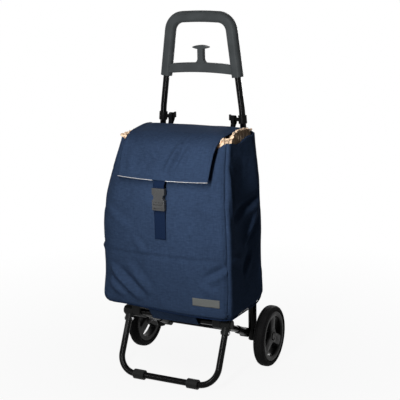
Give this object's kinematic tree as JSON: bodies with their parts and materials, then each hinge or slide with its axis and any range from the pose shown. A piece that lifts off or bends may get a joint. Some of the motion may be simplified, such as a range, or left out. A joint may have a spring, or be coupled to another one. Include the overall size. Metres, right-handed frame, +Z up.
{
  "type": "shopping trolley",
  "caption": "Two-wheeled shopping trolley: tube frame with a loop handle, a folding foot and base, and a soft bag with a buckled flap.",
  "frame": {"origin": "on the ground, in the middle of the width and of the depth", "axes": "+Z up, -Y towards the front with the buckle and the foot, +Y towards the wheels, +X to the right seen from the front"},
  "size_m": [0.4, 0.325, 0.92],
  "materials": {
    "black_tube": "gloss black",
    "grip_plastic": "satin",
    "fitting_plastic": "satin",
    "buckle_plastic": "satin",
    "steel": "zinc plated",
    "tyre_rubber": "matt rubber",
    "wheel_plastic": "satin",
    "bush_plastic": "plain",
    "navy_cloth": "woven polyester",
    "collar_cotton": "thin cotton",
    "webbing": "ribbed webbing",
    "piping_cord": "pale piping",
    "label_cloth": "plain patch",
    "board": "sheet"
  },
  "bodies": {
    "frame": {"left_post": "black_tube", "right_post": "black_tube", "left_post_plug": "fitting_plastic", "right_post_plug": "fitting_plastic", "left_handle_tube": "black_tube", "right_handle_tube": "black_tube", "left_post_collar": "fitting_plastic", "right_post_collar": "fitting_plastic", "post_rivets": "steel", "handle_grip": "grip_plastic", "left_bag_hook": "fitting_plastic", "right_bag_hook": "fitting_plastic", "hook_screws": "steel", "axle": "black_tube", "axle_spacers": "steel", "axle_caps": "fitting_plastic", "bag_front_panel": "navy_cloth", "bag_left_panel": "navy_cloth", "bag_right_panel": "navy_cloth", "bag_back_panel": "navy_cloth", "bag_base_panel": "navy_cloth", "base_board": "board", "mouth_collar": "collar_cotton", "left_hanging_loop": "webbing", "right_hanging_loop": "webbing", "label_patch": "label_cloth", "front_strap": "webbing"},
    "left_wheel": {"left_tyre": "tyre_rubber", "left_wheel_hub": "wheel_plastic", "left_wheel_bush": "bush_plastic"},
    "right_wheel": {"right_tyre": "tyre_rubber", "right_wheel_hub": "wheel_plastic", "right_wheel_bush": "bush_plastic"},
    "base": {"left_base_arm": "black_tube", "right_base_arm": "black_tube", "left_arm_end": "fitting_plastic", "right_arm_end": "fitting_plastic", "left_bag_rest": "fitting_plastic", "right_bag_rest": "fitting_plastic", "front_cross_tube": "black_tube", "pivot_caps": "fitting_plastic", "base_tab": "navy_cloth"},
    "foot": {"foot_tube": "black_tube", "left_leg_bracket": "fitting_plastic", "right_leg_bracket": "fitting_plastic", "left_foot_sleeve": "fitting_plastic", "right_foot_sleeve": "fitting_plastic", "leg_rivets": "steel"},
    "flap": {"lid_flap": "navy_cloth", "flap_piping": "piping_cord", "flap_strap": "webbing", "buckle_socket": "buckle_plastic"},
    "buckle": {"buckle_plug": "buckle_plastic"},
    "left_prong": {"left_release_prong": "buckle_plastic"},
    "right_prong": {"right_release_prong": "buckle_plastic"}
  },
  "joints": [
    {"name": "left_wheel_spin", "type": "hinge", "parent": "frame", "child": "left_wheel", "pos_m": [-0.186, 0.08252, 0.08], "axis": [1, 0, 0], "continuous": true},
    {"name": "right_wheel_spin", "type": "hinge", "parent": "frame", "child": "right_wheel", "pos_m": [0.186, 0.08252, 0.08], "axis": [1, 0, 0], "continuous": true},
    {"name": "base_fold", "type": "hinge", "parent": "frame", "child": "base", "pos_m": [0, 0.08252, 0.08], "axis": [-1, 0, 0], "range_deg": [0, 45], "deforming": ["bag_front_panel", "bag_base_panel", "base_board"]},
    {"name": "foot_fold", "type": "hinge", "parent": "base", "child": "foot", "pos_m": [0, -0.07634, 0.15577], "axis": [1, 0, 0], "range_deg": [0, 80]},
    {"name": "flap_open", "type": "hinge", "parent": "frame", "child": "flap", "pos_m": [0, 0.06652, 0.6275], "axis": [-1, 0, 0], "range_deg": [0, 85]},
    {"name": "buckle_release", "type": "slide", "parent": "frame", "child": "buckle", "axis": [0, 0, -1], "range_m": [0, 0.024]},
    {"name": "left_prong_squeeze", "type": "hinge", "parent": "buckle", "child": "left_prong", "pos_m": [-0.0085, -0.15756, 0.4723], "axis": [0, 1, 0], "range_deg": [0, 7], "stiffness_Nm_per_rad": 0.05},
    {"name": "right_prong_squeeze", "type": "hinge", "parent": "buckle", "child": "right_prong", "pos_m": [0.0085, -0.15756, 0.4723], "axis": [0, -1, 0], "range_deg": [0, 7], "stiffness_Nm_per_rad": 0.05}
  ]
}
